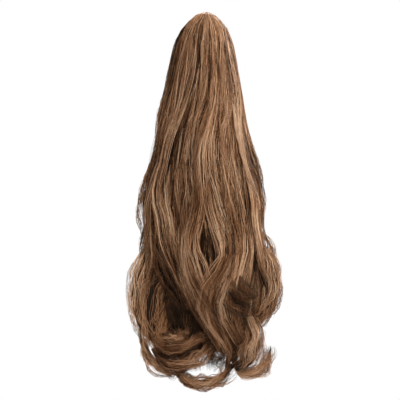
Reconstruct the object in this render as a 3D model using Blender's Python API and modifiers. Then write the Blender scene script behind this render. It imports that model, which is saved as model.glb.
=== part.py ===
"""A claw-clip ponytail hairpiece: wavy hair sewn on two wefts round the jaws of a claw clip.

Metres, +Z up. The origin is the middle of the clip's jaws, where the wearer's own gathered hair
goes. The -Y side shows when the piece is worn, and the +Y side faces the wearer's head.
"""

import math
from collections import namedtuple

import bmesh
import bpy
from mathutils import Matrix, Vector

MM = 0.001
SEAT_GAP = 0.3 * MM

# The claw clip
CLIP_LENGTH = 58 * MM
CLIP_DEPTH = 42 * MM
CLIP_HEIGHT = 38 * MM
JAW_WALL = 2.4 * MM
MOUTH_HEIGHT = 10 * MM
TOOTH_COUNT = 6
TOOTH_GAP = 4.5 * MM
TOOTH_LENGTH = 11 * MM
HINGE_RADIUS = 3.4 * MM
TAB_LENGTH = 13 * MM
TAB_WIDTH = 30 * MM
TAB_WALL = 2.6 * MM
TAB_SPREAD = math.radians(34)

# The two sewn wefts on the jaws
WEFT_WALL = 1.8 * MM
WEFT_INSET = 2 * MM
UPPER_WEFT_ARC = (math.radians(38), math.radians(150))
LOWER_WEFT_ARC = (math.radians(-105), math.radians(-38))

# The hair round the clip
CROWN_PILE = 24.3 * MM
SIDE_PILE = 9 * MM
FRONT_PILE = 9 * MM
TEETH_PROUD = 6 * MM
CROWN_RISE = CLIP_HEIGHT / 2 + WEFT_WALL + 2 * SEAT_GAP + CROWN_PILE
CROWN_HALF_WIDTH = CLIP_LENGTH / 2 + SEAT_GAP + SIDE_PILE
TAB_REACH = CLIP_DEPTH / 2 + TAB_LENGTH * math.cos(TAB_SPREAD) + TAB_WALL / 2
CROWN_FRONT = TAB_REACH + SEAT_GAP + FRONT_PILE
CROWN_BACK = CLIP_DEPTH / 2 - TEETH_PROUD

# The fall of hair below the clip
FALL_LENGTH = 454 * MM
FALL_HALF_WIDTH = 98 * MM
FALL_FRONT = 46 * MM
FALL_BACK = 33 * MM
BACK_HAIR_FRONT = 6 * MM
BACK_HAIR_DROP = 13.7 * MM
LOCK_FLATNESS = 0.45
LOCK_ROOT = 0.4
LOCK_TIP = 0.35
TAPER_START = 0.6
SWELLING_END = 0.25
BACK_LOCK_COUNT = 7
BACK_LOCK_SPREAD = 0.84
BACK_LOCK_WIDTH = 0.18
BACK_LOCK_ROOT = 0.06
BACK_LOCK_SWAY = 0.10
BACK_LOCK_WAVES = 0.95
BACK_LOCK_PHASE = 0.9
LONG_BACK_LOCK = (0.90, 0.35)
SHORT_BACK_LOCK = (0.85, 0.15)

# How the solids are divided
BODY_SIDES = 28
LOCK_SIDES = 8
LOCK_RINGS = 17
CURL_RINGS = 12
CLIP_SIDES = 48
WEFT_STEPS = 12

HAIR_BROWN = (0.262, 0.144, 0.078, 1.0)
UNDER_BROWN = (0.120, 0.064, 0.036, 1.0)
CLIP_BROWN = (0.032, 0.018, 0.012, 1.0)

# The outer form of the hair. Up the crown, the level is a share of CROWN_RISE and the rest are
# shares of the CROWN sizes. Down the fall, they are shares of the FALL sizes. The backing is the
# share of the form that is solid under the locks.
Section = namedtuple("Section", "level width front back lean backing")
CROWN_SECTIONS = (
    Section(0.990, 0.12, 0.25, -0.15, 0.07, 1.0),
    Section(0.945, 0.27, 0.37, 0.10, 0.07, 1.0),
    Section(0.885, 0.39, 0.48, 0.28, 0.06, 1.0),
    Section(0.770, 0.53, 0.62, 0.50, 0.05, 1.0),
    Section(0.596, 0.71, 0.77, 0.74, 0.03, 1.0),
    Section(0.390, 0.85, 0.88, 0.90, 0.02, 1.0),
    Section(0.130, 0.96, 0.97, 1.00, 0.00, 1.0),
)
FALL_SECTIONS = (
    Section(0.097, 0.49, 0.96, 0.70, -0.010, 0.98),
    Section(0.216, 0.59, 1.00, 0.84, -0.020, 0.95),
    Section(0.333, 0.68, 0.98, 0.90, 0.015, 0.92),
    Section(0.390, 0.76, 0.97, 0.92, 0.000, 0.89),
    Section(0.449, 0.81, 0.95, 0.94, -0.015, 0.87),
    Section(0.520, 0.79, 0.93, 0.96, -0.005, 0.88),
    Section(0.566, 0.82, 0.92, 0.97, 0.000, 0.88),
    Section(0.640, 0.86, 0.92, 0.99, 0.015, 0.87),
    Section(0.690, 0.93, 0.92, 1.00, 0.020, 0.85),
    Section(0.742, 0.97, 0.92, 1.00, 0.020, 0.81),
    Section(0.802, 0.89, 0.88, 0.95, 0.000, 0.82),
    Section(0.859, 0.79, 0.80, 0.88, -0.010, 0.82),
    Section(0.900, 0.72, 0.70, 0.78, -0.020, 0.74),
    Section(0.930, 0.64, 0.60, 0.65, -0.020, 0.46),
    Section(1.000, 0.45, 0.50, 0.50, 0.000, 0.00),
)
BACKING_END = 0.930

# The long front locks. Width is a share of the form's half width. Each column after it is how far
# across the form the lock lies at that share of the fall, from -1 at the left to 1 at the right.
# The reach is the share of the fall at which the lock ends.
LOCK_STATIONS = (0.00, 0.15, 0.30, 0.45, 0.60, 0.75, 0.90)
Lock = namedtuple("Lock", "width root reach proud at_00 at_15 at_30 at_45 at_60 at_75 at_90")
FRONT_LOCKS = (
    Lock(0.20, 0.02, 0.760, 0.30, -0.86, -0.86, -0.87, -0.91, -0.90, -0.87, -0.80),
    Lock(0.29, -0.04, 0.765, 0.70, -0.50, -0.62, -0.80, -0.76, -0.64, -0.22, 0.10),
    Lock(0.26, 0.05, 0.765, 0.35, -0.14, -0.26, -0.52, -0.44, -0.40, -0.12, 0.12),
    Lock(0.20, -0.02, 0.920, 0.85, 0.14, 0.08, -0.24, -0.16, -0.28, -0.02, 0.40),
    Lock(0.20, 0.04, 0.950, 0.75, 0.40, 0.34, 0.02, 0.20, 0.42, 0.04, 0.54),
    Lock(0.24, -0.03, 0.930, 0.50, 0.58, 0.52, 0.28, 0.42, 0.52, 0.28, 0.70),
    Lock(0.24, 0.03, 0.920, 0.45, 0.72, 0.70, 0.60, 0.64, 0.70, 0.50, 0.88),
    Lock(0.20, 0.01, 0.760, 0.30, 0.87, 0.87, 0.85, 0.92, 0.93, 0.90, 0.60),
)

# The curled ends, each along a path of five places. The across columns are shares of
# FALL_HALF_WIDTH, the drop columns of FALL_LENGTH and the front columns of FALL_FRONT.
Curl = namedtuple(
    "Curl",
    "width tip front_start front_end"
    " across_a drop_a across_b drop_b across_c drop_c across_d drop_d across_e drop_e",
)
CURLS = (
    Curl(0.145, 0.60, 0.35, 0.50, -0.70, 0.58, -0.84, 0.67, -0.85, 0.75, -0.73, 0.83, -0.50, 0.86),
    Curl(0.135, 0.50, 0.50, 0.66, -0.50, 0.66, -0.66, 0.71, -0.71, 0.78, -0.62, 0.845, -0.44, 0.855),
    Curl(0.100, 0.50, 0.35, 0.60, -0.32, 0.72, -0.48, 0.79, -0.54, 0.85, -0.42, 0.89, -0.24, 0.90),
    Curl(0.080, 0.50, 0.60, 0.70, -0.30, 0.70, -0.46, 0.75, -0.57, 0.80, -0.62, 0.85, -0.53, 0.89),
    Curl(0.050, 0.50, 0.66, 0.84, -0.66, 0.82, -0.55, 0.845, -0.42, 0.850, -0.29, 0.835, -0.20, 0.812),
    Curl(0.070, 0.50, 0.60, 0.86, -0.73, 0.84, -0.53, 0.885, -0.26, 0.88, -0.06, 0.85, 0.07, 0.835),
    Curl(0.070, 0.50, 0.50, 0.74, -0.70, 0.88, -0.49, 0.93, -0.22, 0.925, 0.01, 0.90, 0.15, 0.87),
    Curl(0.042, 0.60, 0.43, 0.36, -0.83, 0.85, -0.79, 0.90, -0.64, 0.94, -0.46, 0.96, -0.30, 0.95),
    Curl(0.065, 0.80, 0.34, 0.50, -0.43, 0.93, -0.22, 0.977, 0.01, 0.985, 0.25, 0.965, 0.39, 0.93),
    Curl(0.125, 0.60, 0.30, 0.55, 0.77, 0.58, 0.88, 0.65, 0.89, 0.72, 0.78, 0.770, 0.55, 0.795),
    Curl(0.110, 0.60, 0.34, 0.54, 0.62, 0.60, 0.78, 0.68, 0.82, 0.75, 0.72, 0.80, 0.58, 0.83),
    Curl(0.110, 0.60, 0.55, 0.60, 0.49, 0.76, 0.62, 0.815, 0.66, 0.87, 0.57, 0.92, 0.40, 0.94),
    Curl(0.058, 0.20, 0.50, 0.32, 0.40, 0.92, 0.54, 0.955, 0.73, 0.952, 0.87, 0.92, 0.91, 0.875),
)


def curve_through(places, values, at):
    """A smooth curve through values at rising places, read at one place."""
    at = min(max(at, places[0]), places[-1])
    i = max(k for k in range(len(places) - 1) if places[k] <= at)
    before, after = max(i - 1, 0), min(i + 2, len(places) - 1)
    span = places[i + 1] - places[i]
    t = (at - places[i]) / span
    slope_in = (values[i + 1] - values[before]) / (places[i + 1] - places[before]) * span
    slope_out = (values[after] - values[i]) / (places[after] - places[i]) * span
    return (
        (2 * t**3 - 3 * t**2 + 1) * values[i] + (t**3 - 2 * t**2 + t) * slope_in
        + (3 * t**2 - 2 * t**3) * values[i + 1] + (t**3 - t**2) * slope_out
    )


def form_at(z):
    """The half width, front depth, back depth, sideways lean and backing share of the hair at z."""
    if z > 0:
        rows = (Section(0.0, 1.0, 1.0, 1.0, 0.0, 1.0), *reversed(CROWN_SECTIONS))
        sizes = (CROWN_HALF_WIDTH, CROWN_FRONT, CROWN_BACK, CROWN_HALF_WIDTH, 1.0)
        level = z / CROWN_RISE
    else:
        clip_shares = (CROWN_HALF_WIDTH / FALL_HALF_WIDTH, CROWN_FRONT / FALL_FRONT, CROWN_BACK / FALL_BACK)
        rows = (Section(0.0, *clip_shares, 0.0, 1.0), *FALL_SECTIONS)
        sizes = (FALL_HALF_WIDTH, FALL_FRONT, FALL_BACK, FALL_HALF_WIDTH, 1.0)
        level = -z / FALL_LENGTH
    levels = [row.level for row in rows]
    return [size * curve_through(levels, [row[k + 1] for row in rows], level) for k, size in enumerate(sizes)]


def form_point(z, angle, share=1.0):
    """A point on the form at z. The angle is 0 at the front and a quarter turn at the right."""
    width, front, back, lean, _ = form_at(z)
    middle, depth = (back - front) / 2, (back + front) / 2
    x = lean + share * width * math.sin(angle)
    y = middle - share * depth * math.cos(angle)
    return Vector((x, y, z))


def loft(name, rings):
    """A closed mesh object through rings of points."""
    mesh = bmesh.new()
    made = [[mesh.verts.new(point) for point in ring] for ring in rings]
    sides = len(rings[0])
    for ring, following in zip(made, made[1:]):
        for i in range(sides):
            j = (i + 1) % sides
            mesh.faces.new((ring[i], ring[j], following[j], following[i]))
    mesh.faces.new(made[0])
    mesh.faces.new(made[-1])
    bmesh.ops.recalc_face_normals(mesh, faces=mesh.faces)
    data = bpy.data.meshes.new(name)
    mesh.to_mesh(data)
    mesh.free()
    return bpy.data.objects.new(name, data)


def backing(name):
    """The solid under the locks: the crown, and the fall down to where only curls are left."""
    levels = [row.level * CROWN_RISE for row in CROWN_SECTIONS] + [0.0]
    levels += [-row.level * FALL_LENGTH for row in FALL_SECTIONS if row.level <= BACKING_END]
    between = [(a + b) / 2 for a, b in zip(levels, levels[1:]) if a - b > FALL_LENGTH / 12]
    rings = []
    for z in sorted(levels + between, reverse=True):
        share = form_at(z)[4]
        turns = [2 * math.pi * i / BODY_SIDES for i in range(BODY_SIDES)]
        rings.append([form_point(z, turn, share) for turn in turns])
    return loft(name, rings)


def lock_tube(name, path, outs, widths):
    """A flattened tube along a path, wide across the hair and thin outwards from it."""
    rings = []
    for i, point in enumerate(path):
        along = (path[min(i + 1, len(path) - 1)] - path[max(i - 1, 0)]).normalized()
        side = along.cross(outs[i]).normalized()
        out = side.cross(along).normalized()
        half_width, half_thick = widths[i], widths[i] * LOCK_FLATNESS
        turns = [2 * math.pi * k / LOCK_SIDES for k in range(LOCK_SIDES)]
        rings.append([
            point + side * half_width * math.cos(turn) + out * half_thick * math.sin(turn)
            for turn in turns
        ])
    return loft(name, rings)


def tapered(t, tip):
    """Full width for most of a lock's length, easing down to the tip's share of it."""
    fade = max(0.0, (t - TAPER_START) / (1 - TAPER_START))
    return 1 - (1 - tip) * fade * fade


def swelling(t):
    """A narrow start that swells to full width over the first part of a lock."""
    return LOCK_ROOT + (1 - LOCK_ROOT) * min(1.0, t / SWELLING_END)


def long_lock(name, lock, facing):
    """A lock that runs down the form from the clip. Facing is 1 at the front and -1 at the back."""
    path, outs, widths = [], [], []
    for i in range(LOCK_RINGS):
        t = i / (LOCK_RINGS - 1)
        level = lock.root + (lock.reach - lock.root) * t
        z = -level * FALL_LENGTH
        half_width = form_at(z)[0]
        angle = math.asin(curve_through(LOCK_STATIONS, lock[4:], level))
        turn = angle if facing > 0 else math.pi - angle
        width = lock.width * half_width * swelling(t) * tapered(t, LOCK_TIP)
        out = Vector((math.sin(turn), -math.cos(turn), 0))
        sunk = (1 - lock.proud * swelling(t)) * width * LOCK_FLATNESS
        path.append(form_point(z, turn) - out * sunk)
        outs.append(out)
        widths.append(width)
    return lock_tube(name, path, outs, widths)


def curl_lock(name, curl):
    """A lock that curls at the end of the fall."""
    acrosses, drops = curl[4::2], curl[5::2]
    places = [k / (len(drops) - 1) for k in range(len(drops))]
    path, outs, widths = [], [], []
    for i in range(CURL_RINGS):
        t = i / (CURL_RINGS - 1)
        x = FALL_HALF_WIDTH * curve_through(places, acrosses, t)
        y = -FALL_FRONT * (curl.front_start + (curl.front_end - curl.front_start) * t)
        z = -FALL_LENGTH * curve_through(places, drops, t)
        path.append(Vector((x, y, z)))
        outs.append(Vector((0, -1, 0)))
        widths.append(FALL_HALF_WIDTH * curl.width * swelling(t) * tapered(t, curl.tip))
    return lock_tube(name, path, outs, widths)


def back_locks():
    """Plain waved locks, evenly spaced across the back."""
    made = []
    for i in range(BACK_LOCK_COUNT):
        root = BACK_LOCK_SPREAD * (2 * i / (BACK_LOCK_COUNT - 1) - 1)
        phase = BACK_LOCK_PHASE * i
        waves = [2 * math.pi * BACK_LOCK_WAVES * level + phase for level in LOCK_STATIONS]
        sways = [BACK_LOCK_SWAY * level * math.sin(wave) for level, wave in zip(LOCK_STATIONS, waves)]
        reach, proud = LONG_BACK_LOCK if i % 2 else SHORT_BACK_LOCK
        stations = [root + sway for sway in sways]
        lock = Lock(BACK_LOCK_WIDTH, BACK_LOCK_ROOT, reach, proud, *stations)
        made.append(long_lock(f"back_lock_{i + 1}", lock, -1))
    return made


def oval_bar(name, depth, height, length, sides=CLIP_SIDES):
    """A bar along X with an oval section."""
    bpy.ops.mesh.primitive_cylinder_add(vertices=sides, radius=1, depth=length)
    bar = bpy.context.object
    bar.name = name
    turned = Matrix.Rotation(math.pi / 2, 4, "Y")
    sized = Matrix.Diagonal((1, depth / 2, height / 2, 1))
    bar.data.transform(sized @ turned)
    return bar


def box(name, low, high):
    """A box between two corners."""
    bpy.ops.mesh.primitive_cube_add(size=1)
    block = bpy.context.object
    block.name = name
    low, high = Vector(low), Vector(high)
    block.data.transform(Matrix.Translation((low + high) / 2) @ Matrix.Diagonal((*(high - low), 1)))
    return block


def put_in(collection, *things):
    """Moves objects to a collection."""
    for thing in things:
        for old in list(thing.users_collection):
            old.objects.unlink(thing)
        collection.objects.link(thing)


def combine(target, operation, *tools):
    """Joins tools to the target, or cuts it with them, and keeps them as hidden guides."""
    group = bpy.data.collections.new(f"{target.name}_{operation.lower()}")
    CUTTERS.children.link(group)
    put_in(group, *tools)
    for tool in tools:
        tool.hide_render = True
        tool.display_type = "WIRE"
    modifier = target.modifiers.new(f"{operation.title()} {len(target.modifiers) + 1}", "BOOLEAN")
    modifier.operation = operation
    modifier.solver = "EXACT"
    modifier.operand_type = "COLLECTION"
    modifier.collection = group


def finished(thing, colour, roughness, metallic=0.0):
    """Gives a piece its material and puts it in the hairpiece."""
    material = bpy.data.materials.new(thing.name)
    material.use_nodes = True
    shader = material.node_tree.nodes["Principled BSDF"]
    shader.inputs["Base Color"].default_value = colour
    shader.inputs["Roughness"].default_value = roughness
    shader.inputs["Metallic"].default_value = metallic
    material.diffuse_color = colour
    thing.data.materials.append(material)
    put_in(HAIRPIECE, thing)


def claw_clip():
    """Two oval jaws on one hinge barrel, standing open at the mouth, with teeth and thumb tabs."""
    clip = oval_bar("claw_clip", CLIP_DEPTH, CLIP_HEIGHT, CLIP_LENGTH)
    barrel = oval_bar("barrel", 2 * HINGE_RADIUS, 2 * HINGE_RADIUS, CLIP_LENGTH, 16)
    barrel.data.transform(Matrix.Translation((0, HINGE_RADIUS - CLIP_DEPTH / 2, 0)))
    hollow = oval_bar("hollow", CLIP_DEPTH - 2 * JAW_WALL, CLIP_HEIGHT - 2 * JAW_WALL, 2 * CLIP_LENGTH)
    mouth = box("mouth", (-CLIP_LENGTH, 0, -MOUTH_HEIGHT / 2), (CLIP_LENGTH, CLIP_DEPTH, MOUTH_HEIGHT / 2))
    combine(clip, "DIFFERENCE", hollow, mouth)
    tabs = []
    for name, spread in (("upper_tab", TAB_SPREAD), ("lower_tab", -TAB_SPREAD)):
        tab = box(name, (-TAB_WIDTH / 2, -TAB_LENGTH, -TAB_WALL / 2), (TAB_WIDTH / 2, HINGE_RADIUS, TAB_WALL / 2))
        hinge = Matrix.Translation((0, HINGE_RADIUS - CLIP_DEPTH / 2, 0))
        tab.data.transform(hinge @ Matrix.Rotation(-spread, 4, "X"))
        tabs.append(tab)
    combine(clip, "UNION", barrel, *tabs)
    pitch = CLIP_LENGTH / TOOTH_COUNT
    tooth_root = CLIP_DEPTH / 2 - TOOTH_LENGTH
    gaps = []
    for i in range(1, TOOTH_COUNT):
        middle = -CLIP_LENGTH / 2 + pitch * i
        low = (middle - TOOTH_GAP / 2, tooth_root, -CLIP_HEIGHT)
        high = (middle + TOOTH_GAP / 2, CLIP_DEPTH, CLIP_HEIGHT)
        gaps.append(box(f"tooth_gap_{i}", low, high))
    combine(clip, "DIFFERENCE", *gaps)
    finished(clip, CLIP_BROWN, 0.35)


def weft(name, arc):
    """A sewn band that lies on a jaw, as a sheet bent round it and thickened outwards."""
    bpy.ops.mesh.primitive_grid_add(x_subdivisions=1, y_subdivisions=WEFT_STEPS, size=1)
    band = bpy.context.object
    band.name = name
    half_length = CLIP_LENGTH / 2 - WEFT_INSET
    for vertex in band.data.vertices:
        turn = arc[1] + (arc[0] - arc[1]) * (vertex.co.y + 0.5)
        y = (CLIP_DEPTH / 2 + SEAT_GAP) * math.cos(turn)
        z = (CLIP_HEIGHT / 2 + SEAT_GAP) * math.sin(turn)
        vertex.co = (2 * half_length * vertex.co.x, y, z)
    cloth = band.modifiers.new("Cloth", "SOLIDIFY")
    cloth.thickness = WEFT_WALL
    cloth.offset = 1
    cloth.use_even_offset = True
    finished(band, UNDER_BROWN, 0.9)


def clip_space(name):
    """The room that the clip, its tabs and the wefts take in the hair, open to the wearer's head."""
    clear = 2 * (SEAT_GAP + WEFT_WALL + SEAT_GAP)
    length = CLIP_LENGTH + 2 * SEAT_GAP
    jaws = oval_bar(name, CLIP_DEPTH + clear, CLIP_HEIGHT + clear, length)
    top = (CLIP_HEIGHT + clear) / 2
    behind = box(f"{name}_behind", (-length / 2, 0, -top), (length / 2, CLIP_DEPTH, top))
    tab_top = TAB_LENGTH * math.sin(TAB_SPREAD) + TAB_WALL
    low = (-TAB_WIDTH / 2 - SEAT_GAP, -TAB_REACH - SEAT_GAP, -tab_top - SEAT_GAP)
    tabs = box(f"{name}_tabs", low, (TAB_WIDTH / 2 + SEAT_GAP, 0, tab_top + SEAT_GAP))
    return jaws, behind, tabs


def front_hair():
    """The crown, the front locks and the curled ends, fused to their backing round the clip."""
    hair = backing("front_hair")
    low = (-2 * FALL_HALF_WIDTH, BACK_HAIR_FRONT - SEAT_GAP, -2 * FALL_LENGTH)
    high = (2 * FALL_HALF_WIDTH, 2 * FALL_BACK, SEAT_GAP - BACK_HAIR_DROP)
    combine(hair, "DIFFERENCE", *clip_space("front_clip_space"), box("room_for_back_hair", low, high))
    locks = [long_lock(f"front_lock_{i + 1}", lock, 1) for i, lock in enumerate(FRONT_LOCKS)]
    curls = [curl_lock(f"curl_{i + 1}", curl) for i, curl in enumerate(CURLS)]
    combine(hair, "UNION", *locks, *curls)
    finished(hair, HAIR_BROWN, 0.45)


def back_hair():
    """The hair that falls from the lower jaw, its locks fused to their own backing."""
    hair = backing("back_hair")
    low = (-2 * FALL_HALF_WIDTH, -2 * FALL_FRONT, -2 * FALL_LENGTH)
    ahead_high = (2 * FALL_HALF_WIDTH, BACK_HAIR_FRONT, 2 * CROWN_RISE)
    above_low = (-2 * FALL_HALF_WIDTH, 0, -BACK_HAIR_DROP)
    above_high = (2 * FALL_HALF_WIDTH, 2 * FALL_BACK, 2 * CROWN_RISE)
    above = box("above_back_hair", above_low, above_high)
    combine(hair, "DIFFERENCE", *clip_space("back_clip_space"), above, box("ahead_of_back_hair", low, ahead_high))
    locks = back_locks()
    for lock in locks:
        combine(lock, "DIFFERENCE", box(f"ahead_of_{lock.name}", low, ahead_high))
    combine(hair, "UNION", *locks)
    finished(hair, HAIR_BROWN, 0.45)


for old in list(bpy.data.objects):
    bpy.data.objects.remove(old)
HAIRPIECE = bpy.data.collections.new("ponytail_hairpiece")
CUTTERS = bpy.data.collections.new("cutters")
bpy.context.scene.collection.children.link(HAIRPIECE)
bpy.context.scene.collection.children.link(CUTTERS)
claw_clip()
weft("upper_weft", UPPER_WEFT_ARC)
weft("lower_weft", LOWER_WEFT_ARC)
front_hair()
back_hair()
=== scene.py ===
"""A claw-clip ponytail in wavy light-brown fibre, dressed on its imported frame."""

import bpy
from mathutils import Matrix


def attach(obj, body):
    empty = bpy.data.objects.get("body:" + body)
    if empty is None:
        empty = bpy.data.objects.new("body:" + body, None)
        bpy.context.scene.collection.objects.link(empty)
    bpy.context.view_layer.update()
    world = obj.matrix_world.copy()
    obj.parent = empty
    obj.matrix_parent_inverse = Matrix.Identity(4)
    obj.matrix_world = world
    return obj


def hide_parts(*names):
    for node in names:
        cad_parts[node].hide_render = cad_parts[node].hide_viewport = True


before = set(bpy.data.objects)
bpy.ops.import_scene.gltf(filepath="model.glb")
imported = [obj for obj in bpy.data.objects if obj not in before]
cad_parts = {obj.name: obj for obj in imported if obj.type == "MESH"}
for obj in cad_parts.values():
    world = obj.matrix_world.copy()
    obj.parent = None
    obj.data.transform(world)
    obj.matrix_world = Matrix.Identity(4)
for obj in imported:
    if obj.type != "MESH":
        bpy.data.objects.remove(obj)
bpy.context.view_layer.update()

import math
from collections import namedtuple

import bmesh
import bpy
from mathutils import Vector

# The claw clip.
# It is moulded in dark brown ABS, and the teeth and thumb tabs come out of the same mould.
# The moulding leaves a satin face with a faint grain, a little glossier where fingers rub it.

MM = 0.001


def linear(hex_colour):
    """An sRGB hex colour as linear RGBA."""
    channels = [int(hex_colour[i : i + 2], 16) / 255 for i in (1, 3, 5)]
    return (*[c / 12.92 if c <= 0.04045 else ((c + 0.055) / 1.055) ** 2.4 for c in channels], 1.0)


def add(tree, kind, links=None, values=None, stops=(), **settings):
    """Adds a node with its settings, its links, its inputs' values and any stops of its colour ramp."""
    node = tree.nodes.new(kind)
    for name, value in settings.items():
        setattr(node, name, value)
    for key, value in (values or {}).items():
        node.inputs[key].default_value = value
    for key, source in (links or {}).items():
        tree.links.new(source, node.inputs[key])
    elements = node.color_ramp.elements if stops else ()
    while len(elements) < len(stops):
        elements.new(1.0)
    for element, (place, colour) in zip(elements, stops):
        element.position = place
        element.color = linear(colour)
    return node


def principled(name, **values):
    """A material and its tree, with one Principled shader set to plain values."""
    material = bpy.data.materials.new(name)
    material.use_nodes = True
    shader = material.node_tree.nodes["Principled BSDF"]
    for key, value in values.items():
        shader.inputs[key.replace("_", " ")].default_value = value
    return material, material.node_tree, shader


clip_abs, tree, shader = principled("moulded_abs", Roughness=0.34, IOR=1.54)
place = add(tree, "ShaderNodeTexCoord").outputs["Object"]
CLIP_GRAIN = 0.9 * MM
CLIP_CLOUD = 12 * MM
grain = add(tree, "ShaderNodeTexNoise", {"Vector": place}, {"Scale": 1 / CLIP_GRAIN, "Detail": 3.0})
cloudy = add(tree, "ShaderNodeTexNoise", {"Vector": place}, {"Scale": 1 / CLIP_CLOUD, "Detail": 2.0})
colour = add(
    tree, "ShaderNodeValToRGB", {"Fac": cloudy.outputs["Fac"]},
    stops=((0.35, "#231812"), (0.65, "#35251b")),
)
tree.links.new(colour.outputs["Color"], shader.inputs["Base Color"])
rough = add(
    tree, "ShaderNodeMapRange", {"Value": cloudy.outputs["Fac"]}, {"To Min": 0.26, "To Max": 0.42}
)
tree.links.new(rough.outputs["Result"], shader.inputs["Roughness"])
bump = add(
    tree, "ShaderNodeBump", {"Height": grain.outputs["Fac"]}, {"Strength": 0.15, "Distance": 0.1 * MM}
)
tree.links.new(bump.outputs["Normal"], shader.inputs["Normal"])
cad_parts["claw_clip"].data.materials.clear()
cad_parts["claw_clip"].data.materials.append(clip_abs)

# The two wefts.
# Each is a narrow woven polyester band, folded double and sewn along the jaw that it sits on.
# The weave is dull, and two rows of lock stitch in a slightly lighter thread hold the hair in it.

band_weave, tree, shader = principled("woven_polyester", Roughness=0.88, Sheen_Weight=0.3)
place = add(tree, "ShaderNodeTexCoord").outputs["Object"]
THREAD_PITCH = 0.9 * MM
BANDS_AT_ONE = 3.2  # a Wave Texture draws about this many bands in a metre at a scale of 1
warp, woof = [
    add(
        tree, "ShaderNodeTexWave", {"Vector": place},
        {"Scale": 1 / (2 * THREAD_PITCH) / BANDS_AT_ONE, "Distortion": 0.6}, bands_direction=way,
    ).outputs["Fac"]
    for way in "XZ"
]
weave = add(tree, "ShaderNodeMath", {0: warp, 1: woof}, operation="MULTIPLY")
colour = add(
    tree, "ShaderNodeValToRGB", {"Fac": weave.outputs[0]}, stops=((0.0, "#2e2019"), (0.8, "#5b4434"))
)
tree.links.new(colour.outputs["Color"], shader.inputs["Base Color"])
bump = add(
    tree, "ShaderNodeBump", {"Height": weave.outputs[0]}, {"Strength": 0.6, "Distance": 0.3 * MM}
)
tree.links.new(bump.outputs["Normal"], shader.inputs["Normal"])
for node in ("upper_weft", "lower_weft"):
    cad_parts[node].data.materials.clear()
    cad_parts[node].data.materials.append(band_weave)

thread, tree, shader = principled("spun_polyester_thread", Roughness=0.6)
THREAD_TWIST = 0.7 * MM
place = add(tree, "ShaderNodeTexCoord").outputs["Object"]
twist = add(tree, "ShaderNodeTexNoise", {"Vector": place}, {"Scale": 1 / THREAD_TWIST, "Detail": 1.0})
colour = add(
    tree, "ShaderNodeValToRGB", {"Fac": twist.outputs["Fac"]}, stops=((0.3, "#5d4635"), (0.7, "#86694f"))
)
tree.links.new(colour.outputs["Color"], shader.inputs["Base Color"])

CLIP_LENGTH = 58 * MM
CLIP_DEPTH = 42 * MM
CLIP_HEIGHT = 38 * MM
SEAT_GAP = 0.3 * MM
WEFT_WALL = 1.8 * MM
WEFT_STAND = SEAT_GAP + WEFT_WALL
SEAM_ROWS = {"upper_weft": (44, 62), "lower_weft": (-43, -60)}  # degrees up from the clip's back
SEAM_INSET = 4 * MM
STITCH_LENGTH = 2.6 * MM
STITCH_PITCH = 3.4 * MM
STITCH_RADIUS = 0.32 * MM


def group_with(name, *sockets):
    """A Geometry Nodes tree with a geometry in and out, and the named inputs."""
    tree = bpy.data.node_groups.new(name, "GeometryNodeTree")
    tree.interface.new_socket("Geometry", in_out="INPUT", socket_type="NodeSocketGeometry")
    tree.interface.new_socket("Geometry", in_out="OUTPUT", socket_type="NodeSocketGeometry")
    for label, kind in sockets:
        tree.interface.new_socket(label, in_out="INPUT", socket_type="NodeSocket" + kind)
    return tree, add(tree, "NodeGroupInput").outputs


def grown(name, source, tree, **values):
    """Runs a tree on an object and keeps the result as a plain mesh object."""
    modifier = source.modifiers.new(tree.name, "NODES")
    modifier.node_group = tree
    for item in tree.interface.items_tree:
        key = item.name.lower().replace(" ", "_")
        if item.item_type == "SOCKET" and item.in_out == "INPUT" and key in values:
            modifier[item.identifier] = values[key]
    evaluated = source.evaluated_get(bpy.context.evaluated_depsgraph_get())
    mesh = bpy.data.meshes.new_from_object(evaluated)
    mesh.name = name
    source.modifiers.clear()
    bpy.data.objects.remove(source)
    thing = bpy.data.objects.new(name, mesh)
    bpy.context.scene.collection.objects.link(thing)
    return thing


def plain_object(name, points, edges, attributes=None):
    """A mesh of points and edges that carries attributes for a tree to read."""
    mesh = bpy.data.meshes.new(name)
    mesh.from_pydata(points, edges, [])
    for key, values in (attributes or {}).items():
        vector = hasattr(values[0], "__len__")
        layer = mesh.attributes.new(key, "FLOAT_VECTOR" if vector else "FLOAT", "POINT")
        if vector:
            layer.data.foreach_set("vector", [c for value in values for c in value])
        else:
            layer.data.foreach_set("value", list(values))
    thing = bpy.data.objects.new(name, mesh)
    bpy.context.scene.collection.objects.link(thing)
    return thing


stitch_row, entry = group_with(
    "stitch_row", ("Length", "Float"), ("Pitch", "Float"), ("Radius", "Float"), ("Thread", "Material")
)
seam = add(stitch_row, "GeometryNodeMeshToCurve", {"Mesh": entry["Geometry"]})
places = add(
    stitch_row, "GeometryNodeResampleCurve", {"Curve": seam.outputs["Curve"], "Length": entry["Pitch"]},
    mode="LENGTH",
)
middles = add(
    stitch_row, "GeometryNodeCurveToPoints", {"Curve": places.outputs["Curve"]}, mode="EVALUATED"
)
bead = add(stitch_row, "GeometryNodeMeshUVSphere", values={"Segments": 6, "Rings": 5, "Radius": 1.0})
half = add(stitch_row, "ShaderNodeMath", {0: entry["Length"]}, {1: 0.5}, operation="MULTIPLY")
bead_size = add(
    stitch_row, "ShaderNodeCombineXYZ", {"X": half.outputs[0], "Y": entry["Radius"], "Z": entry["Radius"]}
)
stitches = add(
    stitch_row, "GeometryNodeInstanceOnPoints",
    {"Points": middles.outputs["Points"], "Instance": bead.outputs["Mesh"], "Scale": bead_size.outputs[0]},
)
real = add(stitch_row, "GeometryNodeRealizeInstances", {"Geometry": stitches.outputs["Instances"]})
dressed = add(
    stitch_row, "GeometryNodeSetMaterial",
    {"Geometry": real.outputs["Geometry"], "Material": entry["Thread"]},
)
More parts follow.
